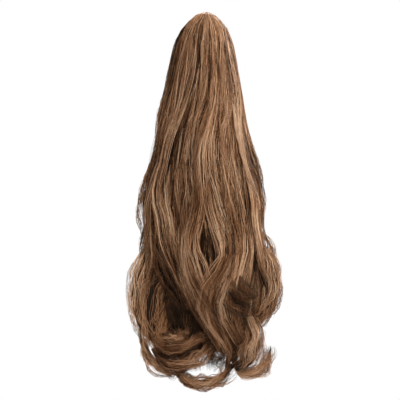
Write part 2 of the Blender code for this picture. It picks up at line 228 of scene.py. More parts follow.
add(stitch_row, "NodeGroupOutput", {"Geometry": dressed.outputs["Geometry"]})

for node, turns in SEAM_ROWS.items():
    points, edges = [], []
    for turn in turns:
        y = (CLIP_DEPTH / 2 + WEFT_STAND) * math.cos(math.radians(turn))
        z = (CLIP_HEIGHT / 2 + WEFT_STAND) * math.sin(math.radians(turn))
        half_seam = CLIP_LENGTH / 2 - SEAM_INSET
        edges.append((len(points), len(points) + 1))
        points += [(-half_seam, y, z), (half_seam, y, z)]
    seam_rows = plain_object("seam_rows", points, edges)
    sewn = grown(
        f"{node}_stitches", seam_rows, stitch_row,
        length=STITCH_LENGTH, pitch=STITCH_PITCH, radius=STITCH_RADIUS, thread=thread,
    )
    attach(sewn, "root")

# The form of the hair.
# The fibre folds over the clip in a rounded crown and falls straight down, widest near its ends.
# These are the sizes that the solids have, so each lock of fibre lies where its solid lies.

SIDE_PILE = 9 * MM
CROWN_RISE = 45.7 * MM
CROWN_HALF_WIDTH = CLIP_LENGTH / 2 + SEAT_GAP + SIDE_PILE
CROWN_FRONT = 42.38 * MM
CROWN_BACK = 15 * MM
FALL_LENGTH = 454 * MM
FALL_HALF_WIDTH = 98 * MM
FALL_FRONT = 46 * MM
FALL_BACK = 33 * MM

Section = namedtuple("Section", "level width front back lean backing")
CROWN_SECTIONS = (
    Section(0.990, 0.12, 0.25, -0.15, 0.07, 1.0),
    Section(0.945, 0.27, 0.37, 0.10, 0.07, 1.0),
    Section(0.885, 0.39, 0.48, 0.28, 0.06, 1.0),
    Section(0.770, 0.53, 0.62, 0.50, 0.05, 1.0),
    Section(0.596, 0.71, 0.77, 0.74, 0.03, 1.0),
    Section(0.390, 0.85, 0.88, 0.90, 0.02, 1.0),
    Section(0.130, 0.96, 0.97, 1.00, 0.00, 1.0),
    Section(0.000, 1.00, 1.00, 1.00, 0.00, 1.0),
)
FALL_SECTIONS = (
    Section(0.000, CROWN_HALF_WIDTH / FALL_HALF_WIDTH, CROWN_FRONT / FALL_FRONT, 0.455, 0.0, 1.0),
    Section(0.097, 0.49, 0.96, 0.70, -0.010, 0.98),
    Section(0.216, 0.59, 1.00, 0.84, -0.020, 0.95),
    Section(0.333, 0.68, 0.98, 0.90, 0.015, 0.92),
    Section(0.390, 0.76, 0.97, 0.92, 0.000, 0.89),
    Section(0.449, 0.81, 0.95, 0.94, -0.015, 0.87),
    Section(0.520, 0.79, 0.93, 0.96, -0.005, 0.88),
    Section(0.566, 0.82, 0.92, 0.97, 0.000, 0.88),
    Section(0.640, 0.86, 0.92, 0.99, 0.015, 0.87),
    Section(0.690, 0.93, 0.92, 1.00, 0.020, 0.85),
    Section(0.742, 0.97, 0.92, 1.00, 0.020, 0.81),
    Section(0.802, 0.89, 0.88, 0.95, 0.000, 0.82),
    Section(0.859, 0.79, 0.80, 0.88, -0.010, 0.82),
    Section(0.900, 0.72, 0.70, 0.78, -0.020, 0.74),
    Section(0.930, 0.64, 0.60, 0.65, -0.020, 0.46),
    Section(1.000, 0.45, 0.50, 0.50, 0.000, 0.30),
)


def curve_through(places, values, at):
    """A smooth curve through values at rising places, read at one place."""
    at = min(max(at, places[0]), places[-1])
    i = max(k for k in range(len(places) - 1) if places[k] <= at)
    before, after = max(i - 1, 0), min(i + 2, len(places) - 1)
    span = places[i + 1] - places[i]
    t = (at - places[i]) / span
    slope_in = (values[i + 1] - values[before]) / (places[i + 1] - places[before]) * span
    slope_out = (values[after] - values[i]) / (places[after] - places[i]) * span
    return (
        (2 * t**3 - 3 * t**2 + 1) * values[i] + (t**3 - 2 * t**2 + t) * slope_in
        + (3 * t**2 - 2 * t**3) * values[i + 1] + (t**3 - t**2) * slope_out
    )


def form_at(z):
    """The half width, front depth, back depth, sideways lean and backing share of the hair at z."""
    rows = sorted(CROWN_SECTIONS if z > 0 else FALL_SECTIONS, key=lambda row: row.level)
    level = z / CROWN_RISE if z > 0 else -z / FALL_LENGTH
    row = [curve_through([r.level for r in rows], [r[k] for r in rows], level) for k in range(1, 6)]
    width, front, back = (
        (CROWN_HALF_WIDTH, CROWN_FRONT, CROWN_BACK) if z > 0 else (FALL_HALF_WIDTH, FALL_FRONT, FALL_BACK)
    )
    return width * row[0], front * row[1], back * row[2], width * row[3], row[4]


def form_point(z, turn, share=1.0):
    """A point on the form at z. The turn is 0 at the front and a quarter at the right."""
    width, front, back, lean, _ = form_at(z)
    middle, depth = (back - front) / 2, (back + front) / 2
    return Vector((lean + share * width * math.sin(turn), middle - share * depth * math.cos(turn), z))


# The fibre.
# It is fine heat-set polyester, coloured in a light brown with darker and paler filaments mixed.
# Heat setting leaves it smooth and silky, so it takes soft streaks of light along the waves; they come
# partly from its gloss and partly from painted light and shade in its tone.

hair_fibre, tree, shader = principled(
    "heat_set_polyester_fibre", Roughness=0.36, IOR=1.50, Specular_IOR_Level=0.4,
    Specular_Tint=linear("#d9b896"),
)
STRANDS_SAY = 0.62  # how much of a tone is the strand's own, and not its clump's
TONE_SPREAD = 1.2
TONE_SHIFT = -0.09
EDGE_PAINTED_SHADE = 0.60  # how far a lock's sides sink into shade by the end of its fall
read = {
    name: add(tree, "ShaderNodeAttribute", attribute_name=name).outputs
    for name in ("clump", "strand", "shade", "fall")
}
clump_place = add(tree, "ShaderNodeSeparateXYZ", {0: read["clump"]["Vector"]}).outputs
strand_place = add(tree, "ShaderNodeSeparateXYZ", {0: read["strand"]["Vector"]}).outputs
both = add(
    tree, "ShaderNodeMix", {"A": clump_place["Z"], "B": strand_place["Z"]}, {"Factor": STRANDS_SAY},
    data_type="FLOAT",
)
spread = add(
    tree, "ShaderNodeMath", {0: both.outputs["Result"]}, {1: TONE_SPREAD, 2: TONE_SHIFT},
    operation="MULTIPLY_ADD",
)
# The guides' shade attribute adds their painted light and shade to the tone.
tone = add(tree, "ShaderNodeMath", {0: spread.outputs[0], 1: read["shade"]["Fac"]}, operation="ADD")
# Painted shade darkens each lock's sides, more and more down its fall.
edge = add(tree, "ShaderNodeMath", {0: clump_place["X"], 1: clump_place["X"]}, operation="MULTIPLY")
deep = add(tree, "ShaderNodeMath", {0: edge.outputs[0], 1: read["fall"]["Fac"]}, operation="MULTIPLY")
sunk = add(
    tree, "ShaderNodeMath", {0: deep.outputs[0], 2: tone.outputs[0]}, {1: -EDGE_PAINTED_SHADE},
    operation="MULTIPLY_ADD",
)
colour = add(
    tree, "ShaderNodeValToRGB", {"Fac": sunk.outputs[0]},
    stops=((0.00, "#1a0e08"), (0.25, "#50301b"), (0.50, "#8d6141"), (0.75, "#b58b69"), (1.00, "#d8b492")),
)
tree.links.new(colour.outputs["Color"], shader.inputs["Base Color"])

# A strand in the render stands for a few real filaments, because one of 0.08 mm wouldn't show.
STRAND_RADIUS = 0.22 * MM

lock_of_strands, entry = group_with(
    "lock_of_strands", ("Clumps", "Int"), ("Strands", "Int"), ("Clump Size", "Float"),
    ("Wrap", "Float"), ("Gather", "Float"), ("Drift", "Float"), ("Frizz", "Float"),
    ("Radius", "Float"), ("Shortest", "Float"), ("Ragged", "Float"), ("Seed", "Int"),
    ("Fibre", "Material"),
)


def copies(tree, geometry, amount, seed, name):
    """Copies each spline, and gives each copy its own place across, place out and tone."""
    many = add(
        tree, "GeometryNodeDuplicateElements", {"Geometry": geometry, "Amount": amount}, domain="SPLINE"
    )
    index = add(tree, "GeometryNodeInputIndex").outputs[0]
    chance = add(
        tree, "FunctionNodeRandomValue", {"ID": index, "Seed": seed},
        {"Min": (-1, -1, 0), "Max": (1, 1, 1)}, data_type="FLOAT_VECTOR",
    )
    return add(
        tree, "GeometryNodeStoreNamedAttribute",
        {"Geometry": many.outputs["Geometry"], "Value": chance.outputs["Value"]},
        {"Name": name}, data_type="FLOAT_VECTOR", domain="CURVE",
    ).outputs["Geometry"]


CLUMP_REACH = 0.9  # how far out of a lock's middle its clumps lie, as a share of its size
CLUMP_SCATTER = 0.12
SWAY_TURNS = (4.2, 7, 9)  # how fast the noise turns down the fall and from clump to clump
FRIZZ_TURNS = (6.0, 83, 59)
OUTWARD_FREEDOM = 0.3  # strands stray less out of a lock than along its face
THIN_FROM, THIN_TO = 0.8, 0.3

t = lock_of_strands
known = dict(entry.items())
for name in ("side", "out", "clump", "strand"):
    known[name] = add(
        t, "GeometryNodeInputNamedAttribute", values={"Name": name}, data_type="FLOAT_VECTOR"
    ).outputs["Attribute"]
for name in ("half_width", "half_thick", "fall"):
    known[name] = add(
        t, "GeometryNodeInputNamedAttribute", values={"Name": name}, data_type="FLOAT"
    ).outputs["Attribute"]
for name, own, turns in (("sway", "clump", SWAY_TURNS), ("frizz", "strand", FRIZZ_TURNS)):
    place = add(t, "ShaderNodeSeparateXYZ", {0: known[own]}).outputs
    seeds = add(t, "ShaderNodeCombineXYZ", {"X": known["fall"], "Y": place["X"], "Z": place["Z"]})
    turned = add(t, "ShaderNodeVectorMath", {0: seeds.outputs[0]}, {1: turns}, operation="MULTIPLY")
    noise = add(
        t, "ShaderNodeTexNoise", {"Vector": turned.outputs[0]}, {"Scale": 1.0, "Detail": 1.0}
    ).outputs["Color"]
    swing = add(t, "ShaderNodeSeparateXYZ", {0: noise}).outputs
    for axis in "XYZ":
        known[f"{own} {axis}"] = place[axis]
        known[f"{name} {axis}"] = swing[axis]
along = add(t, "GeometryNodeSplineParameter").outputs["Factor"]
known["thinning"] = add(
    t, "ShaderNodeMapRange", {"Value": along},
    {"From Min": THIN_FROM, "From Max": 1.0, "To Min": 1.0, "To Max": THIN_TO},
).outputs["Result"]

# Each step is the name of its result, what it does, and the one or two numbers that it takes.
# A noise runs from 0 to 1, so 0.5 is taken off it. A random place across or out runs from -1 to 1.
steps = [
    ("strands' seed", "ADD", "Seed", 1),
    ("fall squared", "POWER", "fall", 2),
    ("fall root", "POWER", "fall", 0.5),
    ("drawn in", "MULTIPLY", "Gather", "fall squared"),
    ("left open", "SUBTRACT", 1, "drawn in"),
    ("strand size", "MULTIPLY", "Clump Size", "left open"),
    ("clump turn", "MULTIPLY", "clump X", 0.5),
    ("wrapped turn", "MULTIPLY", "clump turn", "Wrap"),
    ("round turn", "ADD", "wrapped turn", math.pi / 2),
    ("clump scatter", "MULTIPLY", "clump Y", CLUMP_SCATTER),
    ("round reach", "ADD", CLUMP_REACH, "clump scatter"),
    ("most cut off", "SUBTRACT", 1, "Shortest"),
    ("cut off", "MULTIPLY", "most cut off", "strand Z"),
    ("end", "SUBTRACT", 1, "cut off"),
    ("clump's late start", "ADD", "clump Y", 1),
    ("late start", "MULTIPLY", "clump's late start", 0.5),
    ("start", "MULTIPLY", "late start", "Ragged"),
    ("thickness", "MULTIPLY", "Radius", "thinning"),
]
for way, wave, axis, size, freedom in (
    ("side", "COSINE", "X", "half_width", 1.0), ("out", "SINE", "Y", "half_thick", OUTWARD_FREEDOM)
):
    steps += [
        (f"{way} wave", wave, "round turn"),
        (f"{way} of clump", "MULTIPLY", f"{way} wave", "round reach"),
        (f"{way} of strand", "MULTIPLY", f"strand {axis}", "strand size"),
        (f"{way} place", "ADD", f"{way} of clump", f"{way} of strand"),
        (f"{way} sway", "SUBTRACT", f"sway {axis}", 0.5),
        (f"{way} drift", "MULTIPLY", f"{way} sway", "Drift"),
        (f"{way} drift down", "MULTIPLY", f"{way} drift", "fall root"),
        (f"{way} curl", "SUBTRACT", f"frizz {axis}", 0.5),
        (f"{way} frizz", "MULTIPLY", f"{way} curl", "Frizz"),
        (f"{way} frizz down", "MULTIPLY", f"{way} frizz", "fall root"),
        (f"{way} stray", "ADD", f"{way} drift down", f"{way} frizz down"),
        (f"{way} loose", "MULTIPLY", f"{way} stray", freedom),
        (f"{way} laid", "MULTIPLY", size, f"{way} place"),
        (f"{way} move", "ADD", f"{way} laid", f"{way} loose"),
    ]
for name, operation, *terms in steps:
    known[name] = add(
        t, "ShaderNodeMath",
        {i: known[term] for i, term in enumerate(terms) if isinstance(term, str)},
        {i: term for i, term in enumerate(terms) if not isinstance(term, str)},
        operation=operation,
    ).outputs[0]

guides = add(t, "GeometryNodeMeshToCurve", {"Mesh": entry["Geometry"]}).outputs["Curve"]
clumps = copies(t, guides, entry["Clumps"], entry["Seed"], "clump")
strands = copies(t, clumps, entry["Strands"], known["strands' seed"], "strand")
sideways, outwards = [
    add(
        t, "ShaderNodeVectorMath", {0: known[way], "Scale": known[f"{way} move"]}, operation="SCALE"
    ).outputs[0]
    for way in ("side", "out")
]
move = add(t, "ShaderNodeVectorMath", {0: sideways, 1: outwards}, operation="ADD").outputs[0]
laid = add(t, "GeometryNodeSetPosition", {"Geometry": strands, "Offset": move}).outputs["Geometry"]
cut = add(
    t, "GeometryNodeTrimCurve", {"Curve": laid, "Start": known["start"], "End": known["end"]}
).outputs["Curve"]
rounded = add(t, "GeometryNodeCurvePrimitiveCircle", values={"Resolution": 3, "Radius": 1.0})
skin = add(
    t, "GeometryNodeCurveToMesh",
    {"Curve": cut, "Profile Curve": rounded.outputs["Curve"], "Scale": known["thickness"]},
    {"Fill Caps": True},
)
smooth = add(t, "GeometryNodeSetShadeSmooth", {"Geometry": skin.outputs["Mesh"]})
real = add(t, "GeometryNodeRealizeInstances", {"Geometry": smooth.outputs["Geometry"]})
dressed = add(
    t, "GeometryNodeSetMaterial", {"Geometry": real.outputs["Geometry"], "Material": entry["Fibre"]}
)
add(t, "NodeGroupOutput", {"Geometry": dressed.outputs["Geometry"]})

Guide = namedtuple("Guide", "path outs widths thicks shades")


def strands_on(name, guides, **values):
    """Grows a lock of strands on each guide, as one piece of the hairpiece."""
    points, edges = [], []
    carried = {"side": [], "out": [], "half_width": [], "half_thick": [], "fall": [], "shade": []}
    for guide in guides:
        last = len(guide.path) - 1
        for i, point in enumerate(guide.path):
            along = (guide.path[min(i + 1, last)] - guide.path[max(i - 1, 0)]).normalized()
            side = along.cross(guide.outs[i]).normalized()
            if i:
                edges.append((len(points) - 1, len(points)))
            points.append(point)
            carried["side"].append(side)
            carried["out"].append(side.cross(along).normalized())
            carried["half_width"].append(guide.widths[i])
            carried["half_thick"].append(guide.thicks[i])
            carried["fall"].append(i / last)
            carried["shade"].append(guide.shades[i])
    source = plain_object(f"{name}_guides", points, edges, carried)
    piece = grown(name, source, lock_of_strands, fibre=hair_fibre, radius=STRAND_RADIUS, **values)
    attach(piece, "root")


# The front hair's long locks.
# Eight main locks start behind the crown, fold over it and swing down the front in slow waves.
# Under them, plainer locks cover the backing from side to side.

LOCK_STATIONS = (0.00, 0.15, 0.30, 0.45, 0.60, 0.75, 0.90)
Lock = namedtuple("Lock", "width reach proud at_00 at_15 at_30 at_45 at_60 at_75 at_90")
FRONT_LOCKS = (
    Lock(0.20, 0.760, 0.30, -0.86, -0.86, -0.87, -0.91, -0.90, -0.87, -0.80),
    Lock(0.29, 0.765, 0.70, -0.50, -0.62, -0.80, -0.76, -0.64, -0.22, 0.10),
    Lock(0.26, 0.765, 0.35, -0.14, -0.26, -0.52, -0.44, -0.40, -0.12, 0.12),
    Lock(0.20, 0.920, 0.85, 0.14, 0.08, -0.24, -0.16, -0.28, -0.02, 0.40),
    Lock(0.20, 0.950, 0.75, 0.40, 0.34, 0.02, 0.20, 0.42, 0.04, 0.54),
    Lock(0.24, 0.930, 0.50, 0.58, 0.52, 0.28, 0.42, 0.52, 0.28, 0.70),
    Lock(0.24, 0.920, 0.45, 0.72, 0.70, 0.60, 0.64, 0.70, 0.50, 0.88),
    Lock(0.20, 0.760, 0.30, 0.87, 0.87, 0.85, 0.92, 0.93, 0.90, 0.60),
)
LOCK_FLATNESS = 0.45
LOCK_TIP = 0.35
CROWN_STEPS = (0.72, 0.90, 0.985, 0.91, 0.74, 0.48, 0.18)
STEPS_BEHIND = 2
FALL_STEPS = 20
MOST_ACROSS = 0.98  # past it, a guide on the form's side would turn round to the other face
TAPER_FROM = 0.6
# Over the top of the crown the tone gives way to CROWN_SHADE, as painted light on the lit dome.
CROWN_LIT_FROM, CROWN_SHADE = 0.5, 0.02
# Painted shade dips the tone under the crown, where the fall leaves the light, and painted light and shade
# swing along a lock where it bends.
DIP_LEVEL, DIP_REACH, DIP_SHADE = 0.03, 0.13, 0.16
BENDS, BEND_FROM, BEND_SHADE = 21, 0.25, 0.16


def tapered(t, tip):
    """Full width for most of a lock's length, easing down to the tip's share of it."""
    fade = max(0.0, (t - TAPER_FROM) / (1 - TAPER_FROM))
    return 1 - (1 - tip) * fade * fade


def fall_guide(
    across_at, width, reach, proud, on_backing=False, facing=1, tip=LOCK_TIP, crown=CROWN_STEPS,
    start=0.0, steps=FALL_STEPS, shade=0.0, bend=None,
):
    """A guide from behind the crown, over its top and down the form from start to reach.

    It lies on the form's surface or on its backing, and facing is 1 in front and -1 behind. A lock
    that is less proud than 1 sinks in. The bend is where the swing of its painted light and shade
    begins.
    """
    path, outs, widths, thicks, shades = [], [], [], [], []
    levels = [(level * CROWN_RISE, i < STEPS_BEHIND) for i, level in enumerate(crown)]
    for i in range(steps + 1):
        levels.append((-FALL_LENGTH * (start + (reach - start) * i / steps), False))
    for z, behind in levels:
        level = max(0.0, -z / FALL_LENGTH)
        half_width, _, _, _, backing = form_at(z)
        share = backing if on_backing else 1.0
        turn = math.asin(max(-MOST_ACROSS, min(MOST_ACROSS, across_at(level))))
        turn = math.pi - turn if (facing < 0) != behind else turn
        size = width * half_width * tapered(level / reach, tip)
        flat = size * LOCK_FLATNESS
        out = Vector((math.sin(turn), -math.cos(turn), 0.0 if z < 0 else z / CROWN_RISE)).normalized()
        path.append(form_point(z, turn, share) - out * (1 - proud) * flat)
        outs.append(out)
        widths.append(size)
        thicks.append(flat)
        # Painted light evens the crown's top, painted shade dips the tone below it, and painted light and
        # shade swing along the bends.
        lit = max(0.0, z / CROWN_RISE - CROWN_LIT_FROM) / (1 - CROWN_LIT_FROM)
        dim = max(0.0, 1 - abs(z + DIP_LEVEL * FALL_LENGTH) / (DIP_REACH * FALL_LENGTH))
        bent = 0.0
        if bend is not None:
            bent = BEND_SHADE * min(1.0, level / BEND_FROM) * math.sin(BENDS * level + bend)
        shades.append((shade + bent - DIP_SHADE * dim) * (1 - lit) + CROWN_SHADE * lit)
    return Guide(path, outs, widths, thicks, shades)


# Painted light and shade per lock: lighter towards the key light on the right and at the left edge, darker
# left of the middle. BEND_PHASES set where each lock's painted bend light starts.
LOCK_SHADES = (0.10, 0.04, -0.08, 0.06, 0.10, 0.14, 0.18, 0.16)
BEND_PHASES = (0.6, 3.6, 5.2, 1.0, 2.6, 4.4, 0.4, 3.0)
front_guides = []
for lock, shade, bend in zip(FRONT_LOCKS, LOCK_SHADES, BEND_PHASES):
    front_guides.append(fall_guide(
        lambda level, lock=lock: curve_through(LOCK_STATIONS, lock[3:], level),
        lock.width, lock.reach, lock.proud, shade=shade, bend=bend,
    ))
for name, first, last in (("left_locks", 0, 2), ("middle_locks", 2, 5), ("right_locks", 5, 8)):
    strands_on(
        name, front_guides[first:last], clumps=20, strands=12, clump_size=0.30, wrap=3.4, gather=0.3,
        drift=60 * MM, frizz=12 * MM, shortest=0.84, seed=3 + first,
    )

# The under locks are set dark, as painted shade where the main locks cover them.
UNDER_LOCK_COUNT = 11
UNDER_SPREAD = 0.95
UNDER_SWAY, UNDER_BENDS, UNDER_STAGGER = 0.08, 11, 1.3
under_guides = []
for i in range(UNDER_LOCK_COUNT):
    root = 2 * UNDER_SPREAD * i / (UNDER_LOCK_COUNT - 1) - UNDER_SPREAD
    under_guides.append(fall_guide(
        lambda level, root=root, i=i: (
            root + UNDER_SWAY * level * math.sin(UNDER_BENDS * level + UNDER_STAGGER * i)
        ),
        width=0.18, reach=0.84 - 0.03 * (i % 3), proud=0.4, on_backing=True, tip=0.6, shade=-0.60,
    ))
# At the sides they hang from the crown, set a little lighter as painted light along the edges,
# and others hang loose round the ends, in front and behind, set darker as painted shade.
SIDE_CROWN = (0.90, 0.75, 0.50, 0.20)
SIDE_LOCKS = ((1, 0.93, 0.90), (1, 0.98, 0.93), (-1, 0.98, 0.92), (-1, 0.93, 0.90), (-1, 0.85, 0.20))
for side in (-1, 1):
    for facing, place, reach in SIDE_LOCKS:
        under_guides.append(fall_guide(
            lambda level, side=side, place=place: side * place, width=0.11, reach=reach, proud=0.7,
            on_backing=True, facing=facing, tip=0.7, crown=SIDE_CROWN, shade=0.04,
        ))
END_LOCK_COUNT = 5
END_SPREAD = 0.8
END_STEPS = 6
for i in range(END_LOCK_COUNT):
    for facing in (-1, 1):
        root = 2 * END_SPREAD * i / (END_LOCK_COUNT - 1) - END_SPREAD
        under_guides.append(fall_guide(
            lambda level, root=root: root, width=0.20, reach=0.955 - 0.02 * (i % 2), proud=0.5,
            on_backing=True, facing=facing, tip=0.7, crown=(), start=0.78, steps=END_STEPS, shade=-0.40,
        ))
strands_on(
    "under_locks", under_guides, clumps=6, strands=6, clump_size=0.5, wrap=3.3, gather=0.3,
    drift=40 * MM, frizz=14 * MM, shortest=0.9, seed=11,
)

# The lighter locks on top.
# A few thin locks lie over the others and cross them as the waves turn, set paler as painted highlight.
# They catch the light first, so they draw the long S of the fall, each with a painted shadow of dark
# strands beside it.

TOP_LOCKS = (
    Lock(0.070, 0.76, 1.4, -0.10, -0.41, -0.70, -0.70, -0.54, -0.18, 0.00),
    Lock(0.050, 0.75, 1.3, -0.34, -0.56, -0.80, -0.82, -0.70, -0.34, 0.00),
    Lock(0.080, 0.76, 1.3, 0.20, 0.10, -0.48, -0.46, -0.34, -0.10, 0.10),
    Lock(0.060, 0.90, 1.2, 0.45, 0.38, -0.24, -0.06, -0.16, 0.00, 0.34),
    Lock(0.060, 0.92, 1.2, 0.50, 0.44, 0.16, 0.24, 0.36, 0.00, 0.46),
    Lock(0.070, 0.92, 1.3, 0.66, 0.50, 0.27, 0.38, 0.52, 0.22, 0.60),
    Lock(0.060, 0.92, 1.3, 0.75, 0.76, 0.62, 0.56, 0.74, 0.52, 0.84),
    Lock(0.030, 0.80, 0.3, 0.30, 0.24, -0.10, 0.02, 0.08, 0.05, 0.20),
)
SHADOW_SHIFT = 1.1
for name, shift, shade, clumps, seed in (
    ("top_locks", 0.0, 0.28, 3, 61), ("top_shadows", SHADOW_SHIFT, -0.40, 2, 67)
):
    top_guides = [
        fall_guide(
            lambda level, lock=lock: curve_through(LOCK_STATIONS, lock[3:], level) + shift * lock.width,
            lock.width, lock.reach, lock.proud, shade=shade,
        )
        for lock in TOP_LOCKS
    ]
    strands_on(
        name, top_guides, clumps=clumps, strands=8, clump_size=0.6, wrap=3.4, gather=0.3,
        drift=60 * MM, frizz=12 * MM, shortest=0.84, seed=seed,
    )

# The streaks on the locks.
# Thin bundles of strands lie along each lock as alternately pale and dark lines, and carry the lock's
# painted light and shade along its bends.
# They lie on the locks' own surface and part a little towards the ends.

STREAK_LOCK_WIDTH = 0.045
STREAK_PLACES = (-0.75, -0.38, 0.0, 0.38, 0.75)
STREAK_SPREAD = 0.9
STREAK_SWAY, STREAK_BENDS, STREAK_STAGGER = 0.02, 14, 5
STREAK_SHADES = (-0.26, 0.20)
# STREAK_PHASE shifts each streak's painted bend light along its lock.
STREAK_PHASE = 0.3
streak_guides = []
for i, lock in enumerate(FRONT_LOCKS):
    for k, place in enumerate(STREAK_PLACES):
        crown_of_lock = math.sqrt(1 - place * place)
        proud = 1 + lock.width / STREAK_LOCK_WIDTH * (lock.proud - 1 + crown_of_lock)
        streak_guides.append(fall_guide(
            lambda level, lock=lock, place=place: (
                curve_through(LOCK_STATIONS, lock[3:], level) + STREAK_SPREAD * place * lock.width
                + STREAK_SWAY * math.sin(STREAK_BENDS * level + STREAK_STAGGER * place)
            ),
            STREAK_LOCK_WIDTH, lock.reach, proud, shade=STREAK_SHADES[(i + k) % 2],
            bend=BEND_PHASES[i] + STREAK_PHASE * k,
        ))
strands_on(
    "streaks", streak_guides, clumps=1, strands=6, clump_size=0.6, wrap=1.0, gather=0.3,
    drift=60 * MM, frizz=10 * MM, shortest=0.84, seed=71,
)

# The curled ends.
# The lowest part of the fall is set round a barrel, so its locks end in hooks and rings.
# They turn up and inwards, and the longest crosses under the middle.

Curl = namedtuple(
    "Curl",
    "width tip front_start front_end"
    " across_a drop_a across_b drop_b across_c drop_c across_d drop_d across_e drop_e",
)
CURLS = (
    Curl(0.145, 0.60, 0.35, 0.50, -0.70, 0.58, -0.84, 0.67, -0.85, 0.75, -0.73, 0.83, -0.50, 0.86),
    Curl(0.135, 0.50, 0.50, 0.66, -0.50, 0.66, -0.66, 0.71, -0.71, 0.78, -0.62, 0.845, -0.44, 0.855),
    Curl(0.100, 0.50, 0.35, 0.60, -0.32, 0.72, -0.48, 0.79, -0.54, 0.85, -0.42, 0.89, -0.24, 0.90),
    Curl(0.080, 0.50, 0.60, 0.70, -0.30, 0.70, -0.46, 0.75, -0.57, 0.80, -0.62, 0.85, -0.53, 0.89),
    Curl(0.050, 0.50, 0.66, 0.84, -0.66, 0.82, -0.55, 0.845, -0.42, 0.850, -0.29, 0.835, -0.20, 0.812),
    Curl(0.070, 0.50, 0.60, 0.86, -0.73, 0.84, -0.53, 0.885, -0.26, 0.88, -0.06, 0.85, 0.07, 0.835),
    Curl(0.070, 0.50, 0.50, 0.74, -0.70, 0.88, -0.49, 0.93, -0.22, 0.925, 0.01, 0.90, 0.15, 0.87),
    Curl(0.042, 0.60, 0.43, 0.36, -0.83, 0.85, -0.79, 0.90, -0.64, 0.94, -0.46, 0.96, -0.30, 0.95),
    Curl(0.065, 0.80, 0.34, 0.50, -0.43, 0.93, -0.22, 0.977, 0.01, 0.985, 0.25, 0.965, 0.39, 0.93),
    Curl(0.125, 0.60, 0.30, 0.55, 0.77, 0.58, 0.88, 0.65, 0.89, 0.72, 0.78, 0.770, 0.55, 0.795),
    Curl(0.110, 0.60, 0.34, 0.54, 0.62, 0.60, 0.78, 0.68, 0.82, 0.75, 0.72, 0.80, 0.58, 0.83),
    Curl(0.110, 0.60, 0.55, 0.60, 0.49, 0.76, 0.62, 0.815, 0.66, 0.87, 0.57, 0.92, 0.40, 0.94),
    Curl(0.058, 0.20, 0.50, 0.32, 0.40, 0.92, 0.54, 0.955, 0.73, 0.952, 0.87, 0.92, 0.91, 0.875),
)
# Painted shade darkens the inner curls where they leave the mass of the fall, and the outer curls start
# lighter as painted light; along each curl the tone eases to CURL_SHADE, a painted highlight at the ends.
CURL_ROOT_SHADES = (
    0.26, 0.06, -0.35, -0.55, -0.45, -0.50, -0.50, 0.00, -0.25, 0.26, 0.18, 0.14, 0.12
)
CURL_SHADE = 0.20
CURL_STEPS = 16
CURL_ROOT_SIZE = 0.4  # a curl leaves its lock at this share of its size, and is full by CURL_FULL
CURL_FULL = 0.25
ROOT_SHADE_FADE = 1.3
LEFT_CURL_COUNT = 9


def curl_guide(curl, shade, root_shade):
    """A guide along one curl, from the tone at its root to the tone at its end."""
    acrosses, drops = curl[4::2], curl[5::2]
    places = [k / (len(drops) - 1) for k in range(len(drops))]
    path, outs, widths, thicks, shades = [], [], [], [], []
    for i in range(CURL_STEPS + 1):
        t = i / CURL_STEPS
        x = FALL_HALF_WIDTH * curve_through(places, acrosses, t)
        y = -FALL_FRONT * (curl.front_start + (curl.front_end - curl.front_start) * t)
        z = -FALL_LENGTH * curve_through(places, drops, t)
        grown_to = CURL_ROOT_SIZE + (1 - CURL_ROOT_SIZE) * min(1.0, t / CURL_FULL)
        size = FALL_HALF_WIDTH * curl.width * grown_to * tapered(t, curl.tip)
        path.append(Vector((x, y, z)))
        outs.append(Vector((0, -1, 0)))
        widths.append(size)
        thicks.append(size * LOCK_FLATNESS)
        shades.append(shade + (root_shade - shade) * (1 - t) ** ROOT_SHADE_FADE)
    return Guide(path, outs, widths, thicks, shades)


curl_guides = [curl_guide(curl, CURL_SHADE, root) for curl, root in zip(CURLS, CURL_ROOT_SHADES)]
for name, guides in (
    ("left_curls", curl_guides[:LEFT_CURL_COUNT]), ("right_curls", curl_guides[LEFT_CURL_COUNT:])
):
    strands_on(
        name, guides, clumps=14, strands=13, clump_size=0.42, wrap=4.6, gather=0.1, drift=34 * MM,
        frizz=13 * MM, shortest=0.70, ragged=0.12, seed=23,
    )

# The hair in the hollows.
# Where the ends curl away from each other, the filaments behind them show, set dark as painted shade.
# They hang a little loose there, so they cross the hollows as fine dark lines.

HOLLOWS = (
    Curl(0.110, 0.70, 0.62, 0.84, -0.33, 0.715, -0.27, 0.750, -0.21, 0.785, -0.16, 0.820, -0.13, 0.850),
    Curl(0.060, 0.70, 0.84, 0.90, -0.18, 0.730, -0.14, 0.760, -0.10, 0.785, -0.06, 0.810, -0.03, 0.840),
    Curl(0.070, 0.60, 0.70, 0.86, -0.50, 0.720, -0.44, 0.760, -0.38, 0.800, -0.33, 0.830, -0.30, 0.845),
    Curl(0.090, 0.70, 0.96, 1.02, 0.24, 0.685, 0.30, 0.722, 0.40, 0.752, 0.54, 0.765, 0.70, 0.755),
    Curl(0.070, 0.70, 0.96, 1.02, 0.34, 0.675, 0.39, 0.706, 0.48, 0.730, 0.60, 0.740, 0.72, 0.733),
    Curl(0.050, 0.70, 0.96, 1.02, 0.46, 0.670, 0.51, 0.692, 0.58, 0.710, 0.66, 0.718, 0.74, 0.712),
    Curl(0.090, 0.70, 0.76, 0.44, -0.10, 0.830, -0.05, 0.860, 0.00, 0.885, 0.04, 0.910, 0.07, 0.940),
    Curl(0.080, 0.70, 0.76, 0.44, 0.06, 0.830, 0.10, 0.860, 0.15, 0.885, 0.21, 0.910, 0.27, 0.940),
    Curl(0.090, 0.40, 0.98, 1.00, 0.03, 0.500, 0.06, 0.550, 0.09, 0.600, 0.09, 0.640, 0.03, 0.700),
)
HOLLOW_SHADES = (-0.85, -0.80, -0.85, -0.48, -0.54, -0.48, -0.50, -0.50, -0.80)
HOLLOW_LIFT = 0.15
